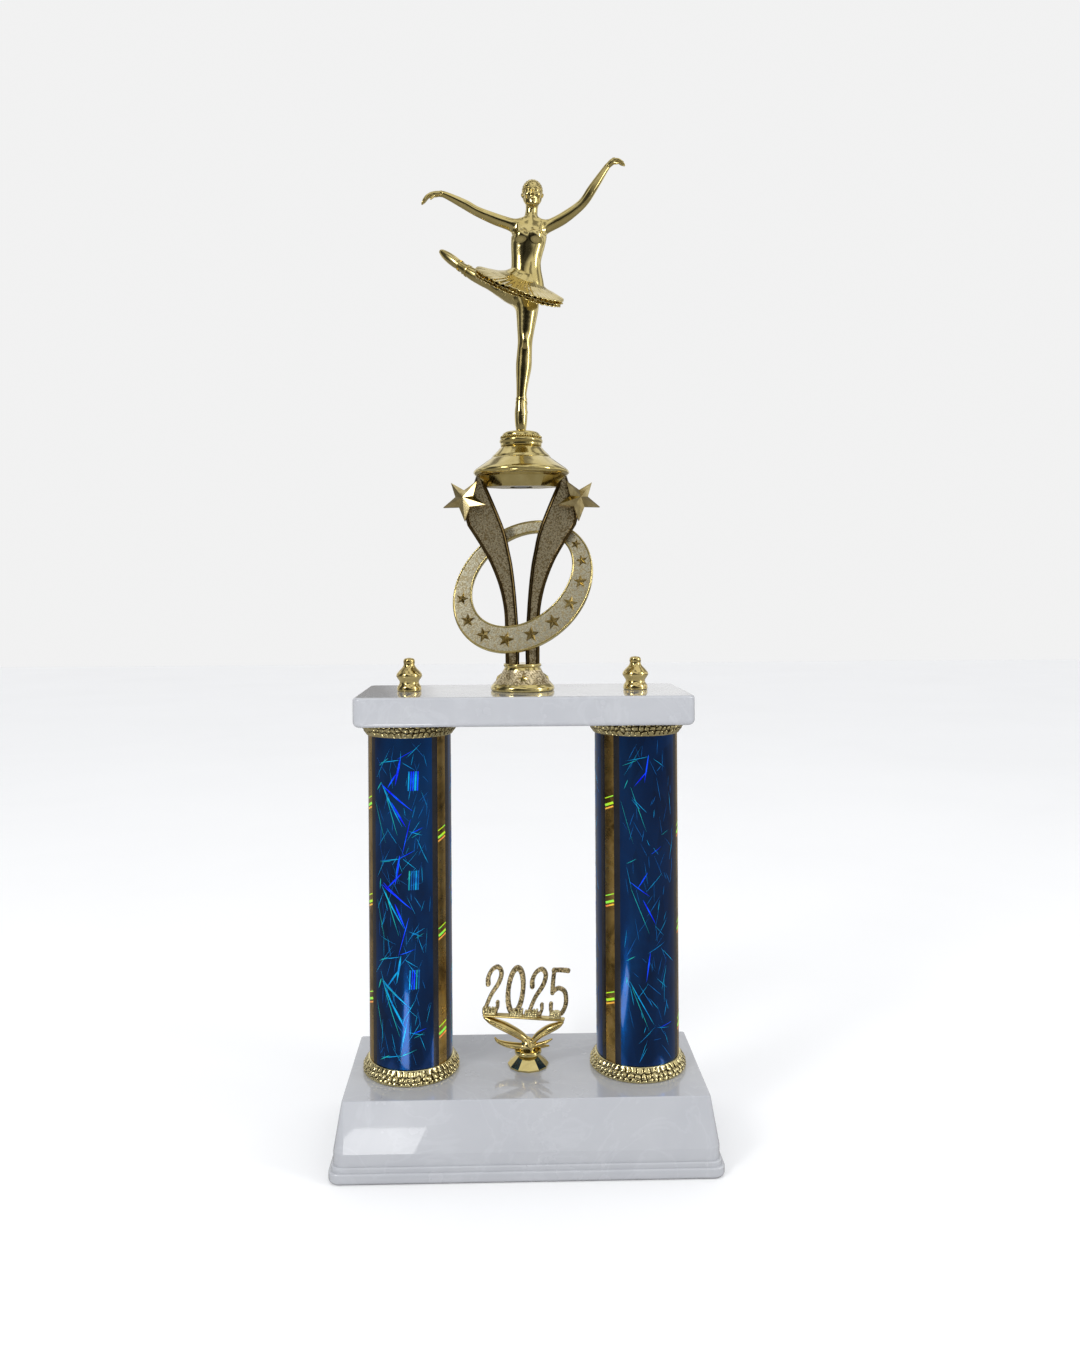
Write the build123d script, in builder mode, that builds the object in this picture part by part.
from build123d import *

import os
from math import atan, cos, degrees, radians, sin

# Two-post award trophy. Millimetres. Origin: middle of the base's underside.
# +Z is up, -Y is the front, +X is to the right of someone facing the front.

os.makedirs("parts", exist_ok=True)

# ---------------------------------------------------------------- driving dimensions
base_length, base_depth, base_height = 228.0, 105.0, 44.5
rim_height, step_height, band_height = 6.5, 3.0, 7.0
step_inset, band_inset, panel_run = 1.3, 2.5, 5.0
base_wall = 3.2
cover_thickness = 2.0
weight_length, weight_depth, weight_thickness = 194.0, 72.0, 9.4

column_x = 70.0
column_diameter = 50.8
column_rise = 214.0
film_thickness, tube_wall = 0.35, 2.0
collar_floor, collar_height, collar_radius = 1.2, 8.5, 29.9

deck_length, deck_depth, deck_thickness = 199.0, 88.0, 17.5

rod_radius, rod_hole_radius = 3.15, 3.3
screw_radius, screw_hole_radius = 2.4, 2.48
finial_height, finial_thread_depth = 20.5, 11.0

foot_radius, foot_height = 19.7, 16.7
leg_depth = 9.0
star_spacing, star_height, star_radius = 35.2, 393.5, 13.8
ring_lean, ring_turn, ring_thickness = 14.0, 39.0, 3.0
bridge_bottom, cap_bottom, cap_top = 401.5, 408.0, 426.2
pedestal_height = 10.0

trim_x, trim_yaw = 2.0, -10.6
bar_low, bar_high, bar_depth = 28.2, 29.8, 5.0
numeral_depth = 3.0
clip_depth, clip_height, two_clip, five_clip = 4.2, 4.4, 8.6, 7.4

base_top = base_height
deck_low = base_top + column_rise
deck_top = deck_low + deck_thickness
foot_top = deck_top + foot_height
pedestal_top = cap_top + pedestal_height


# ---------------------------------------------------------------- shared helpers
def save(block, name):
    """Label one finished piece and write its STEP file."""
    block.part.label = name
    export_step(block.part, f"parts/{name}.step")


def turned(points, axis_x, low):
    """A solid of revolution about the upright line at axis_x, from (radius, height) corners."""
    with BuildPart() as piece:
        with BuildSketch(Plane.XZ.shift_origin((axis_x, 0, low))):
            with BuildLine():
                Polyline(*points, close=True)
            make_face()
        revolve(axis=Axis((axis_x, 0, low), (0, 0, 1)))
    return piece


def hex_nuts(centres, low, across_flats, thickness, bore):
    """One or more identical hexagon nuts, their underside at height low."""
    with BuildPart() as piece:
        with BuildSketch(Plane.XY.offset(low)):
            with Locations(*centres):
                RegularPolygon(across_flats / 2, 6, major_radius=False)
                Circle(bore, mode=Mode.SUBTRACT)
        extrude(amount=thickness)
        top = piece.faces().filter_by(Axis.Z).group_by(Axis.Z)[-1]
        chamfer(top.edges().filter_by(GeomType.LINE), 0.3)
    return piece


def rings(centres, low, height, outer, inner):
    """One or more identical plain rings: washers, tubes and sleeves."""
    with BuildPart() as piece:
        with BuildSketch(Plane.XY.offset(low)):
            with Locations(*centres):
                Circle(outer)
                Circle(inner, mode=Mode.SUBTRACT)
        extrude(amount=height)
    return piece


def threaded_stud(axis_x, low, high, radius):
    """A plain-shank stand-in for a threaded rod, its ends chamfered."""
    with BuildPart() as piece:
        with BuildSketch(Plane.XY.offset(low).shift_origin((axis_x, 0, low))):
            Circle(radius)
        extrude(amount=high - low)
        chamfer(piece.edges().filter_by(GeomType.CIRCLE), 0.5)
    return piece


# ---------------------------------------------------------------- base
cover_seat = 2.6
rod_boss_low, screw_boss_low = 24.0, 36.0
rod_centres = [(-column_x, 0), (column_x, 0)]
band_low = rim_height + step_height
panel_low = band_low + band_height

with BuildPart() as base_shell:
    with BuildSketch(Plane.XY):
        RectangleRounded(base_length, base_depth, 7)
    extrude(amount=rim_height)
    fillet(base_shell.edges().group_by(Axis.Z)[0], 2.4)
    fillet(base_shell.edges().group_by(Axis.Z)[-1], 1.2)
    with BuildSketch(Plane.XY.offset(rim_height)):
        RectangleRounded(base_length - 2 * step_inset, base_depth - 2 * step_inset, 6.5)
    extrude(amount=step_height)
    fillet(base_shell.edges().group_by(Axis.Z)[-1], 0.9)
    panel_length = base_length - 2 * band_inset
    panel_depth = base_depth - 2 * band_inset
    with BuildSketch(Plane.XY.offset(band_low)):
        RectangleRounded(panel_length, panel_depth, 6.5)
    extrude(amount=band_height)
    # the plain panels slant inwards to the top, so their rounded corners narrow upwards
    panel_height = base_top - panel_low
    with BuildSketch(Plane.XY.offset(panel_low)):
        RectangleRounded(panel_length, panel_depth, 6.5)
    extrude(amount=panel_height, taper=degrees(atan(panel_run / panel_height)))
    fillet(base_shell.edges().group_by(Axis.Z)[-1], 0.7)
    # hollow inside, with a shallow seat for the bottom cover
    with BuildSketch(Plane.XY):
        RectangleRounded(panel_length - 5, panel_depth - 5, 4)
    extrude(amount=cover_seat, mode=Mode.SUBTRACT)
    with BuildSketch(Plane.XY.offset(cover_seat)):
        RectangleRounded(panel_length - 9, panel_depth - 9, 4)
    with BuildSketch(Plane.XY.offset(base_top - base_wall)):
        inner_run = 2 * panel_run + 2 * base_wall
        RectangleRounded(panel_length - inner_run, panel_depth - inner_run, 3)
    loft(mode=Mode.SUBTRACT)
    # bosses for the two tie rods and for the screw of the date trim
    with BuildSketch(Plane.XY.offset(rod_boss_low)):
        with Locations(*rod_centres):
            Circle(9)
    extrude(amount=base_top - rod_boss_low - 1)
    with BuildSketch(Plane.XY.offset(screw_boss_low)):
        with Locations((trim_x, 0)):
            Circle(8)
    extrude(amount=base_top - screw_boss_low - 1)
    with BuildSketch(Plane.XY.offset(base_top)):
        with Locations(*rod_centres):
            Circle(rod_hole_radius)
    extrude(amount=-base_top, mode=Mode.SUBTRACT)
    with BuildSketch(Plane.XY.offset(base_top)):
        with Locations((trim_x, 0)):
            Circle(screw_hole_radius)
    extrude(amount=-base_top, mode=Mode.SUBTRACT)
save(base_shell, "base_shell")

with BuildPart() as base_cover:
    with BuildSketch(Plane.XY.offset(cover_seat - cover_thickness)):
        RectangleRounded(panel_length - 5.4, panel_depth - 5.4, 3.8)
    extrude(amount=cover_thickness)
save(base_cover, "base_cover")

with BuildPart() as base_weight:
    with BuildSketch(Plane.XY.offset(cover_seat)):
        RectangleRounded(weight_length, weight_depth, 4)
    extrude(amount=weight_thickness)
    fillet(base_weight.edges().group_by(Axis.Z)[-1], 1.5)
save(base_weight, "base_weight")

# ---------------------------------------------------------------- tie rods and their fasteners
washer_thickness, nut_thickness, nut_flats = 1.6, 5.6, 11.1
rod_low = rod_boss_low - washer_thickness - nut_thickness - 3
rod_high = deck_top + finial_thread_depth - 1
for side, x in (("left", -column_x), ("right", column_x)):
    save(threaded_stud(x, rod_low, rod_high, rod_radius), f"tie_rod_{side}")

rod_washers = rings(rod_centres, rod_boss_low - washer_thickness, washer_thickness, 8.0, rod_hole_radius)
save(rod_washers, "rod_washers")
nut_low = rod_boss_low - washer_thickness - nut_thickness
save(hex_nuts(rod_centres, nut_low, nut_flats, nut_thickness, rod_radius + 0.02), "rod_nuts")

# ---------------------------------------------------------------- columns
column_radius = column_diameter / 2
tube_radius = column_radius - film_thickness
tube_low = base_top + collar_floor
tube_length = column_rise - 2 * collar_floor
for side, x in (("left", -column_x), ("right", column_x)):
    tube = rings([(x, 0)], tube_low, tube_length, tube_radius - 0.02, tube_radius - tube_wall)
    save(tube, f"column_tube_{side}")
    film = rings([(x, 0)], tube_low + 0.3, tube_length - 0.6, column_radius, tube_radius)
    save(film, f"column_film_{side}")


def collar(axis_x, low, flipped):
    """The cup-shaped trim ring at one end of a column, with a spigot that fits inside the tube."""
    lip = column_radius + 0.1
    spigot = tube_radius - tube_wall - 0.1
    outline = [
        (rod_hole_radius, 0),
        (collar_radius - 0.7, 0),
        (collar_radius, 1.2),
        (collar_radius - 0.2, 3.4),
        (collar_radius - 1.6, 5.8),
        (lip + 0.7, collar_height),
        (lip, collar_height),
        (lip, collar_floor),
        (spigot, collar_floor),
        (spigot, collar_height - 1),
        (spigot - 1.5, collar_height - 1),
        (spigot - 1.5, collar_floor),
        (rod_hole_radius, collar_floor),
    ]
    if flipped:
        outline = [(radius, -height) for radius, height in outline]
    return turned(outline, axis_x, low)


for side, x in (("left", -column_x), ("right", column_x)):
    save(collar(x, base_top, False), f"collar_bottom_{side}")
    save(collar(x, deck_low, True), f"collar_top_{side}")

# ---------------------------------------------------------------- deck
counterbore_depth, counterbore_radius = 8.5, 10.0
with BuildPart() as deck:
    with BuildSketch(Plane.XY.offset(deck_low)):
        RectangleRounded(deck_length, deck_depth, 5)
    extrude(amount=deck_thickness)
    fillet(deck.edges().group_by(Axis.Z)[0], 3.5)
    fillet(deck.edges().group_by(Axis.Z)[-1], 1.6)
    with BuildSketch(Plane.XY.offset(deck_low)):
        with Locations(*rod_centres):
            Circle(rod_hole_radius)
        Circle(rod_radius + 0.08)
    extrude(amount=deck_thickness, mode=Mode.SUBTRACT)
    with BuildSketch(Plane.XY.offset(deck_low)):
        Circle(counterbore_radius)
    extrude(amount=counterbore_depth, mode=Mode.SUBTRACT)
save(deck, "deck")

# ---------------------------------------------------------------- finials
insert_radius = 4.8
finial_outline = [
    (insert_radius, 0),
    (7.1, 0),
    (7.5, 0.5),
    (7.5, 2.6),
    (6.1, 4.6),
    (5.9, 5.5),
    (6.2, 6.4),
    (7.7, 8.6),
    (8.0, 9.6),
    (7.7, 10.8),
    (6.2, 12.6),
    (4.2, 14.6),
    (3.5, 15.8),
    (3.35, 17.0),
    (3.6, 18.0),
    (3.4, 19.4),
    (2.4, 20.2),
    (0, finial_height),
    (0, finial_thread_depth),
    (insert_radius, finial_thread_depth),
]
for side, x in (("left", -column_x), ("right", column_x)):
    save(turned(finial_outline, x, deck_top), f"finial_{side}")
    insert = rings([(x, 0)], deck_top, finial_thread_depth, insert_radius, rod_radius + 0.05)
    save(insert, f"finial_insert_{side}")

# ---------------------------------------------------------------- riser: foot and screw
foot_outline = [
    (rod_radius + 0.02, 0),
    (foot_radius - 0.6, 0),
    (foot_radius, 0.7),
    (foot_radius, 2.4),
    (foot_radius - 0.7, 3.4),
    (17.0, 5.4),
    (14.4, 8.4),
    (12.4, 11.4),
    (11.3, 13.8),
    (10.9, 14.4),
    (11.7, 15.0),
    (11.7, 16.2),
    (11.2, foot_height),
    (0, foot_height),
    (0, 12.0),
    (rod_radius + 0.02, 12.0),
]
riser_foot = turned(foot_outline, 0, deck_top)
save(riser_foot, "riser_foot")

seat = deck_low + counterbore_depth
save(threaded_stud(0, deck_low + 0.5, deck_top + 12.0, rod_radius), "riser_stud")
save(rings([(0, 0)], seat - 1.2, 1.2, 8.0, rod_radius + 0.02), "riser_washer")
riser_nut = hex_nuts([(0, 0)], seat - 1.2 - nut_thickness, nut_flats, nut_thickness, rod_radius + 0.02)
save(riser_nut, "riser_nut")


# ---------------------------------------------------------------- riser: bridge between the legs
def bridge_section(height, half_length, half_depth, face_half, end_half):
    """One eight-sided level of the bridge, wide from side to side."""
    with BuildSketch(Plane.XY.offset(height)) as section:
        with BuildLine():
            Polyline(
                (-half_length, -end_half),
                (-face_half, -half_depth),
                (face_half, -half_depth),
                (half_length, -end_half),
                (half_length, end_half),
                (face_half, half_depth),
                (-face_half, half_depth),
                (-half_length, end_half),
                close=True,
            )
        make_face()
    return section.sketch.face()


bridge_levels = [
    bridge_section(bridge_bottom, 22.0, 9.5, 11.7, 3.0),
    bridge_section(cap_bottom, 26.4, 14.0, 13.5, 5.0),
]
with BuildPart() as riser_bridge:
    loft(sections=bridge_levels, ruled=True)
    with BuildSketch(Plane.XY.offset(bridge_bottom)):
        Circle(7.0)
    extrude(amount=4.2, mode=Mode.SUBTRACT)
    with BuildSketch(Plane.XY.offset(bridge_bottom)):
        Circle(screw_hole_radius)
    extrude(amount=cap_bottom - bridge_bottom, mode=Mode.SUBTRACT)
save(riser_bridge, "riser_bridge")

# ---------------------------------------------------------------- riser: legs
leg_inner = [(2.0, 306.0), (3.5, 331.5), (5.4, 350.1), (7.4, 361.2), (11.0, 376.1), (20.9, 400.3)]
leg_outer = [(10.7, 312.0), (11.3, 326.0), (14.2, 340.2), (19.3, 353.8), (24.8, 364.0), (33.6, 378.0)]


def leg(side):
    """One curved leg, widening upwards to the bridge and the underside of the cap."""
    with BuildPart() as piece:
        with BuildSketch(Plane.XZ.offset(-leg_depth / 2)):
            with BuildLine():
                inner = [(side * x, z) for x, z in leg_inner]
                outer = [(side * x, z) for x, z in leg_outer]
                Line((side * 2.0, foot_top), inner[0])
                Spline(*inner, tangents=[(0, 1), (side * 0.42, 1)])
                Line(inner[-1], (side * 25.2, cap_bottom))
                Line((side * 25.2, cap_bottom), (side * 28.0, cap_bottom))
                Polyline((side * 28.0, cap_bottom), (side * 34.4, 386.0), outer[-1])
                Spline(*reversed(outer), tangents=[(side * -0.62, -1), (0, -1)])
                Polyline(outer[0], (side * 10.5, foot_top), (side * 2.0, foot_top))
            make_face()
        extrude(amount=leg_depth)
        add(riser_bridge.part, mode=Mode.SUBTRACT)
    return piece


legs = {"left": leg(-1), "right": leg(1)}
for side, block in legs.items():
    save(block, f"riser_leg_{side}")


# ---------------------------------------------------------------- riser: stars
def star_corners(radius, turn, ratio=0.42):
    """Ten corners of a five-pointed star, the first tip at angle turn."""
    corners = []
    for index in range(10):
        reach = radius if index % 2 == 0 else radius * ratio
        angle = radians(turn + 36 * index)
        corners.append((reach * cos(angle), reach * sin(angle)))
    return corners


def faceted_star(plane, radius, turn, plate, height):
    """A faceted star: a straight-sided plate of the given thickness under a star-shaped pyramid."""
    with BuildPart() as piece:
        if plate > 0:
            with BuildSketch(plane.offset(-plate)):
                with BuildLine():
                    Polyline(*star_corners(radius, turn), close=True)
                make_face()
            extrude(amount=plate)
        with BuildSketch(plane, mode=Mode.PRIVATE) as outline:
            with BuildLine():
                Polyline(*star_corners(radius, turn), close=True)
            make_face()
        apex = plane.origin + plane.z_dir * height
        loft(sections=[outline.sketch.face(), Vertex(apex.X, apex.Y, apex.Z)], ruled=True)
    return piece.part


star_plate, star_apex = 1.6, 4.6
for side, sign in (("left", -1), ("right", 1)):
    tilt_x, tilt_z = sign * 0.17, 0.2
    facing = Vector(tilt_x, -1, tilt_z).normalized()
    centre = Vector(sign * star_spacing, -leg_depth / 2 - 3.2, star_height)
    front = Plane(origin=centre, x_dir=Vector(1, tilt_x, 0), z_dir=facing)
    body = faceted_star(front, star_radius, -90 - sign * 3, star_plate, star_apex)
    with BuildPart() as riser_star:
        add(body)
        # a short peg joins the star's back to the face of the leg
        with BuildSketch(Plane.XZ.offset(leg_depth / 2)):
            with Locations((sign * (star_spacing - 4.4), star_height)):
                Circle(3.2)
        extrude(amount=3.0)
        add(legs[side].part, mode=Mode.SUBTRACT)
    save(riser_star, f"riser_star_{side}")

# ---------------------------------------------------------------- riser: leaning ring
lean, turn_angle = radians(ring_lean), radians(ring_turn)
ring_centre = Vector(0.4, 0.0, 340.0)
ring_plane = Plane(
    origin=ring_centre,
    x_dir=Vector(cos(turn_angle), 0, sin(turn_angle)),
    z_dir=Vector(-sin(turn_angle) * sin(lean), -cos(lean), cos(turn_angle) * sin(lean)),
)
ring_long, ring_short = 47.1, 36.5 / cos(lean)
hole_long, hole_short = 34.7, 24.4 / cos(lean)
hole_centre = (2.5, 3.8)
rim_width, rim_rise = 1.3, 0.6

with BuildPart() as riser_ring:
    with BuildSketch(ring_plane.offset(-ring_thickness / 2)):
        Ellipse(ring_long, ring_short)
        with Locations(hole_centre):
            Ellipse(hole_long, hole_short, mode=Mode.SUBTRACT)
    extrude(amount=ring_thickness)
    with BuildSketch(ring_plane.offset(ring_thickness / 2)):
        Ellipse(ring_long, ring_short)
        Ellipse(ring_long - rim_width, ring_short - rim_width, mode=Mode.SUBTRACT)
        with Locations(hole_centre):
            Ellipse(hole_long + rim_width, hole_short + rim_width)
            Ellipse(hole_long, hole_short, mode=Mode.SUBTRACT)
    extrude(amount=rim_rise)
    for block in legs.values():
        add(block.part, mode=Mode.SUBTRACT)
save(riser_ring, "riser_ring")

# the small stars sit along the band, smaller towards its narrow top end
small_star_angles = [-172, -147, -122, -98, -74, -52, -30, -8, 14, 34]
small_stars = []
for index, angle in enumerate(small_star_angles):
    direction = (cos(radians(angle - ring_turn)), sin(radians(angle - ring_turn)))
    outer = Vector(ring_long * direction[0], ring_short * direction[1])
    inner = Vector(hole_centre[0] + hole_long * direction[0], hole_centre[1] + hole_short * direction[1])
    middle = (outer + inner) * 0.5
    size = 0.32 * (outer - inner).length
    seat_point = ring_plane.from_local_coords(Vector(middle.X, middle.Y, ring_thickness / 2))
    seat_plane = Plane(origin=seat_point, x_dir=ring_plane.x_dir, z_dir=ring_plane.z_dir)
    turn = 90 - ring_turn + 14 * (index % 3 - 1)
    small_stars.append(faceted_star(seat_plane, size, turn, 0, 0.42 * size))
with BuildPart() as ring_stars:
    add(small_stars)
save(ring_stars, "ring_stars")

# ---------------------------------------------------------------- riser: stepped cap
cap_outline = [
    (screw_hole_radius, 0),
    (27.2, 0),
    (28.8, 0.9),
    (29.7, 2.2),
    (29.4, 3.3),
    (28.0, 4.6),
    (24.0, 7.4),
    (19.6, 10.6),
    (18.9, 10.9),
    (18.4, 11.5),
    (18.0, 12.4),
    (14.4, 16.0),
    (12.6, cap_top - cap_bottom),
    (screw_hole_radius, cap_top - cap_bottom),
]
save(turned(cap_outline, 0, cap_bottom), "riser_cap")

# ---------------------------------------------------------------- dancer: screw, pedestal, figure
figure_nut_flats, figure_nut_thickness = 9.5, 3.0
nut_seat = bridge_bottom + 4.2
save(threaded_stud(0, bridge_bottom + 0.2, cap_top + 6.0, screw_radius), "figure_stud")
save(rings([(0, 0)], nut_seat - 0.9, 0.9, 6.2, screw_radius + 0.02), "figure_washer")
figure_nut = hex_nuts(
    [(0, 0)],
    nut_seat - 0.9 - figure_nut_thickness,
    figure_nut_flats,
    figure_nut_thickness,
    screw_radius + 0.02,
)
save(figure_nut, "figure_nut")

pedestal_outline = [
    (screw_radius + 0.02, 0),
    (12.2, 0),
    (12.7, 0.6),
    (12.7, 2.2),
    (13.4, 3.0),
    (13.5, 3.8),
    (13.2, 4.7),
    (12.1, 5.4),
    (11.9, 6.4),
    (11.5, 8.0),
    (10.2, 9.1),
    (6.0, 9.8),
    (0, pedestal_height),
    (0, 6.1),
    (screw_radius + 0.02, 6.1),
]
figure_pedestal = turned(pedestal_outline, 0, cap_top)
save(figure_pedestal, "figure_pedestal")


def limb(points):
    """Round tapered spans through (x, y, z, radius) points, with a ball at every joint."""
    with BuildPart() as piece:
        with Locations(points[0][:3]):
            Sphere(points[0][3])
        for start, end in zip(points, points[1:]):
            along = Vector(*end[:3]) - Vector(*start[:3])
            with BuildSketch(Plane(origin=start[:3], z_dir=along)):
                Circle(start[3])
            with BuildSketch(Plane(origin=end[:3], z_dir=along)):
                Circle(end[3])
            loft()
            with Locations(end[:3]):
                Sphere(end[3])
    return piece.part


standing_leg = [
    (0.3, 0.0, 457.0, 2.9),
    (2.0, 0.0, 478.0, 4.6),
    (2.8, -0.5, 490.0, 4.3),
    (4.2, 0.0, 514.0, 7.2),
    (3.6, 1.0, 524.0, 8.0),
]
raised_leg = [
    (1.0, 2.0, 520.0, 7.2),
    (-10.7, 10.0, 527.0, 5.4),
    (-20.0, 14.6, 533.0, 4.3),
    (-29.0, 19.0, 538.8, 3.8),
    (-40.6, 25.0, 548.3, 2.9),
    (-49.5, 30.0, 556.5, 2.0),
]
right_arm = [
    (16.2, 0.0, 562.6, 3.4),
    (27.5, -1.0, 567.5, 3.3),
    (38.6, -2.0, 575.0, 2.7),
    (52.0, -3.0, 596.0, 2.0),
    (58.0, -3.4, 603.0, 1.7),
    (65.0, -4.0, 600.0, 1.1),
]
left_arm = [
    (-4.0, 0.0, 563.4, 3.4),
    (-15.0, 0.0, 567.6, 3.3),
    (-26.5, -1.0, 571.3, 2.8),
    (-47.8, -3.0, 581.4, 2.0),
    (-54.5, -3.4, 581.4, 1.7),
    (-60.2, -4.0, 576.2, 1.1),
]
neck = [(6.6, 0.4, 564, 5.0), (7.4, 0, 570, 4.0), (7.8, -0.2, 577, 3.9)]
head_centre = (7.9, -0.5, 582.4)

limbs = [limb(chain) for chain in (standing_leg, raised_leg, right_arm, left_arm, neck)]
with BuildPart() as figure:
    # shoe on the tip of the toes, standing on the pedestal
    with BuildSketch(Plane.XY.offset(pedestal_top - 0.6)):
        Circle(3.4)
    with BuildSketch(Plane.XY.offset(pedestal_top + 10)):
        Circle(3.3)
    with BuildSketch(Plane.XY.offset(457)):
        with Locations((0.3, 0)):
            Circle(2.9)
    loft()
    add(limbs)
    # bodice: hips, waist, ribs and shoulders
    with BuildSketch(Plane.XY.offset(524)):
        with Locations((3.6, 0.6)):
            Ellipse(11.0, 8.6)
    with BuildSketch(Plane.XY.offset(540)):
        with Locations((3.8, 0)):
            Ellipse(8.9, 6.6)
    with BuildSketch(Plane.XY.offset(553)):
        with Locations((5.4, -0.4)):
            Ellipse(10.4, 7.2)
    with BuildSketch(Plane.XY.offset(564.5)):
        with Locations((6.2, 0)):
            Ellipse(10.6, 4.6)
    loft()
    # head with a small knot of hair
    with Locations(head_centre):
        Sphere(7.6)
    with Locations((7.9, 6.6, 586.0)):
        Sphere(3.6)
    # layered skirt, tilted forward and to the right: a shallow cone with a thick brim
    skirt_plane = Plane(origin=(-0.8, 1.0, 525.6), x_dir=(0.934, 0, -0.358), z_dir=(0.329, -0.398, 0.856))
    with BuildSketch(skirt_plane.offset(-1.6)):
        Ellipse(27.0, 25.0)
    with BuildSketch(skirt_plane):
        Ellipse(29.6, 27.4)
    with BuildSketch(skirt_plane.offset(4.0)):
        Ellipse(22.0, 20.0)
    with BuildSketch(skirt_plane.offset(9.5)):
        with Locations((1.0, 2.6)):
            Ellipse(9.6, 7.8)
    loft(ruled=True)
    add(figure_pedestal.part, mode=Mode.SUBTRACT)
save(figure, "figure")

# ---------------------------------------------------------------- date trim: foot and screw
foot_facets = 12
with BuildPart() as trim_foot:
    with BuildSketch(Plane.XY.offset(base_top)):
        with Locations((trim_x, 0)):
            RegularPolygon(12.6, foot_facets)
    extrude(amount=1.0)
    with BuildSketch(Plane.XY.offset(base_top + 1.0)):
        with Locations((trim_x, 0)):
            RegularPolygon(12.6, foot_facets)
    with BuildSketch(Plane.XY.offset(base_top + 6.9)):
        with Locations((trim_x, 0)):
            RegularPolygon(5.8, foot_facets)
    loft(ruled=True)
    with BuildSketch(Plane.XY.offset(base_top + 6.9)):
        with Locations((trim_x, 0)):
            Circle(8.4)
    extrude(amount=2.9)
    ring_edges = trim_foot.edges().filter_by(GeomType.CIRCLE)
    fillet(ring_edges, 1.2)
    with BuildSketch(Plane.XY.offset(base_top)):
        with Locations((trim_x, 0)):
            Circle(screw_radius + 0.02)
    extrude(amount=8.0, mode=Mode.SUBTRACT)
save(trim_foot, "trim_foot")

save(threaded_stud(trim_x, screw_boss_low - 6.0, base_top + 8.0, screw_radius), "trim_stud")
save(rings([(trim_x, 0)], screw_boss_low - 0.9, 0.9, 6.2, screw_radius + 0.02), "trim_washer")
trim_nut = hex_nuts(
    [(trim_x, 0)],
    screw_boss_low - 0.9 - figure_nut_thickness,
    figure_nut_flats,
    figure_nut_thickness,
    screw_radius + 0.02,
)
save(trim_nut, "trim_nut")

# ---------------------------------------------------------------- date trim: cradle and numerals
yaw = radians(trim_yaw)
trim_front = Plane(
    origin=(trim_x, 0, base_top),
    x_dir=(cos(yaw), sin(yaw), 0),
    z_dir=(sin(yaw), -cos(yaw), 0),
)
bar_left, bar_right = -28.0, 22.6


def ribbon(points, width, depth):
    """A flat ribbon that follows a smooth line through points, centred on the trim's plane."""
    with BuildPart() as piece:
        with BuildSketch(trim_front.offset(-depth / 2)):
            with BuildLine():
                Spline(*points)
            trace(line_width=width)
        extrude(amount=depth)
    return piece.part


cradle_ribbons = [
    ribbon([(-25.6, 26.9), (-19.0, 24.0), (-8.0, 20.4), (3.0, 14.6)], 4.0, 6.0),
    ribbon([(20.6, 26.9), (15.0, 23.8), (8.0, 20.4), (0.0, 14.0)], 3.6, 6.0),
    ribbon([(-19.4, 14.2), (-12.0, 12.2), (0.0, 11.8)], 2.8, 7.0),
    ribbon([(0.0, 11.8), (7.0, 13.2), (14.2, 16.4)], 2.8, 7.0),
]
with BuildPart() as trim_cradle:
    with BuildSketch(trim_front.offset(-bar_depth / 2)):
        with Locations(((bar_left + bar_right) / 2, (bar_low + bar_high) / 2)):
            Rectangle(bar_right - bar_left, bar_high - bar_low)
    extrude(amount=bar_depth)
    add(cradle_ribbons)
    with BuildSketch(Plane.XY.offset(base_top + 9.8)):
        with Locations((trim_x, 0)):
            Circle(5.2)
    extrude(amount=6.6)
save(trim_cradle, "trim_cradle")


def slanted(points, left):
    """Place a numeral's points on the bar: u from left, v from the bar, leaning a little to the right."""
    return [(left + u + 0.13 * v, bar_high + v) for u, v in points]


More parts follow.
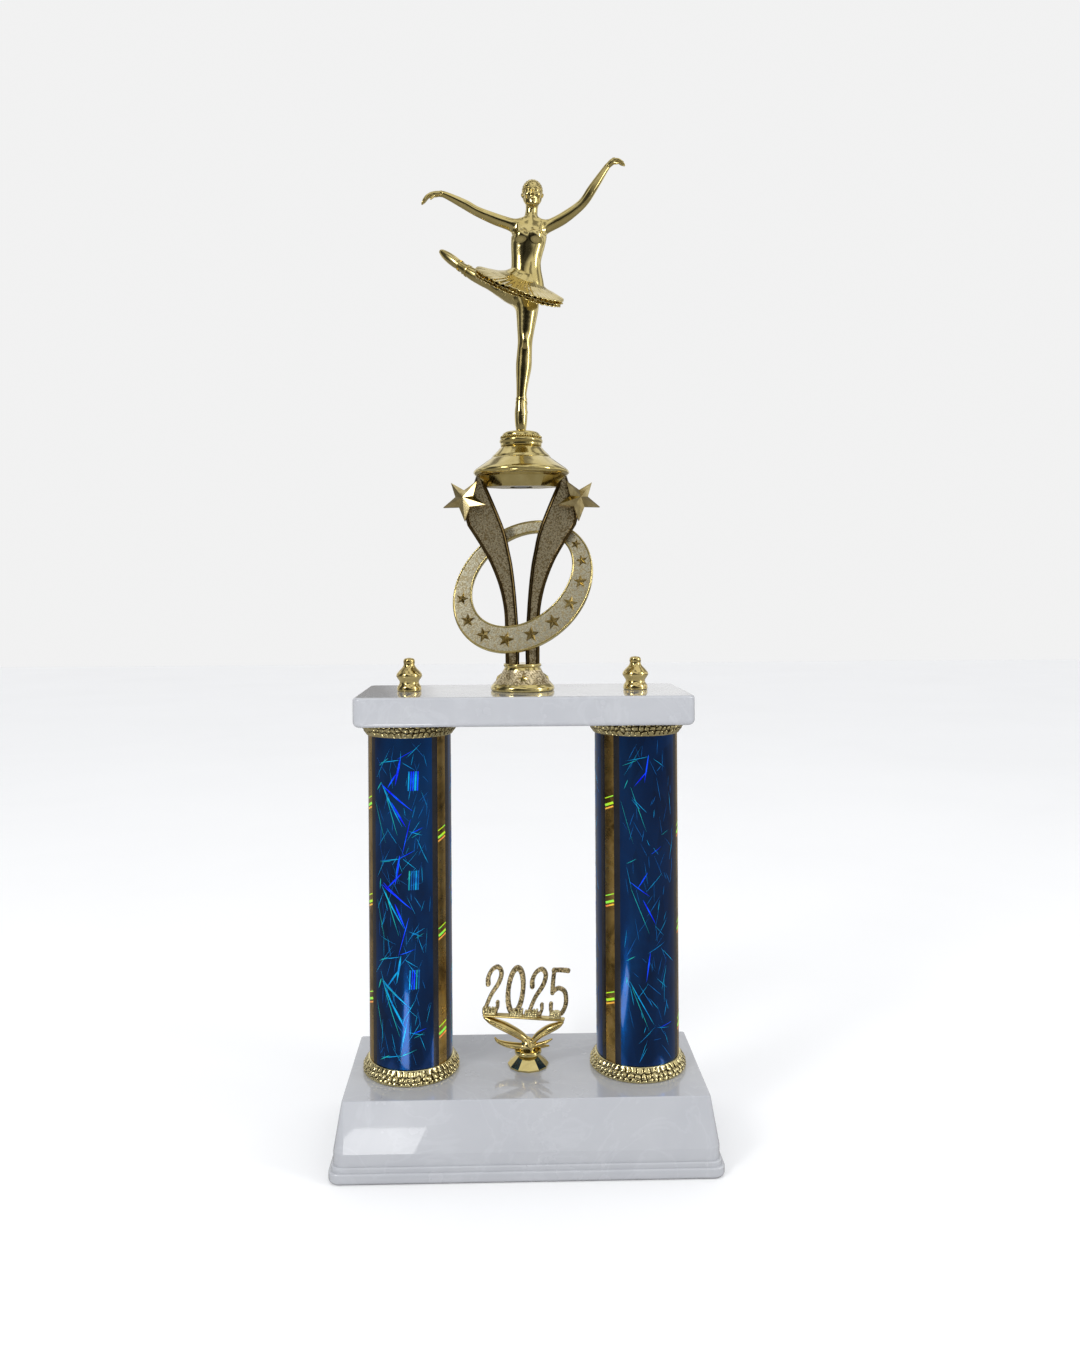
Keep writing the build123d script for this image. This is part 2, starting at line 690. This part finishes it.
def numeral(strokes, left, foot_left, foot_width):
    """A numeral drawn as strokes of one width, with a small foot that clips on the bar."""
    with BuildPart() as piece:
        for points, width in strokes:
            with BuildSketch(trim_front.offset(-numeral_depth / 2)):
                with BuildLine():
                    Spline(*slanted(points, left))
                trace(line_width=width)
            extrude(amount=numeral_depth)
        with BuildSketch(trim_front.offset(-numeral_depth / 2 - 0.6)):
            with Locations((left + foot_left + foot_width / 2, bar_high + 2.2)):
                Rectangle(foot_width, clip_height)
        extrude(amount=clip_depth)
    return piece


two_strokes = [
    ([(1.0, 18.6), (0.6, 23.0), (2.4, 27.6), (6.0, 29.6), (8.6, 26.0), (7.6, 19.6), (3.4, 11.6), (0.6, 1.4)],
     2.5),
    ([(0.4, 1.5), (4.0, 2.0), (8.0, 1.5)], 2.4),
    ([(7.6, 1.2), (8.6, 4.0), (8.2, 7.6)], 1.9),
]
five_strokes = [
    ([(8.6, 29.4), (4.0, 29.6), (-0.4, 29.2)], 2.6),
    ([(0.0, 29.6), (0.1, 22.0), (0.6, 14.6)], 2.6),
    ([(0.6, 16.0), (4.0, 18.4), (8.2, 16.0), (9.6, 9.0), (7.8, 3.0), (4.0, 1.3), (1.0, 3.4), (0.4, 8.4)],
     2.5),
]
zero_outer, zero_inner = (6.2, 15.4), (3.0, 12.4)

save(numeral(two_strokes, -28.2, 0.0, two_clip), "numeral_two_first")
save(numeral(two_strokes, -0.4, 0.0, two_clip), "numeral_two_second")
save(numeral(five_strokes, 13.0, 1.0, five_clip), "numeral_five")

with BuildPart() as numeral_zero:
    with BuildSketch(trim_front.offset(-numeral_depth / 2)):
        with Locations((-7.6, bar_high + 15.4)):
            Ellipse(*zero_outer, rotation=-7)
            Ellipse(*zero_inner, rotation=-7, mode=Mode.SUBTRACT)
        with Locations((-7.6, bar_high - 5)):
            Rectangle(40, 10, mode=Mode.SUBTRACT)
    extrude(amount=numeral_depth)
    with BuildSketch(trim_front.offset(-numeral_depth / 2 - 0.6)):
        with Locations((-10.6, bar_high + 2.2)):
            Rectangle(five_clip, clip_height)
    extrude(amount=clip_depth)
save(numeral_zero, "numeral_zero")
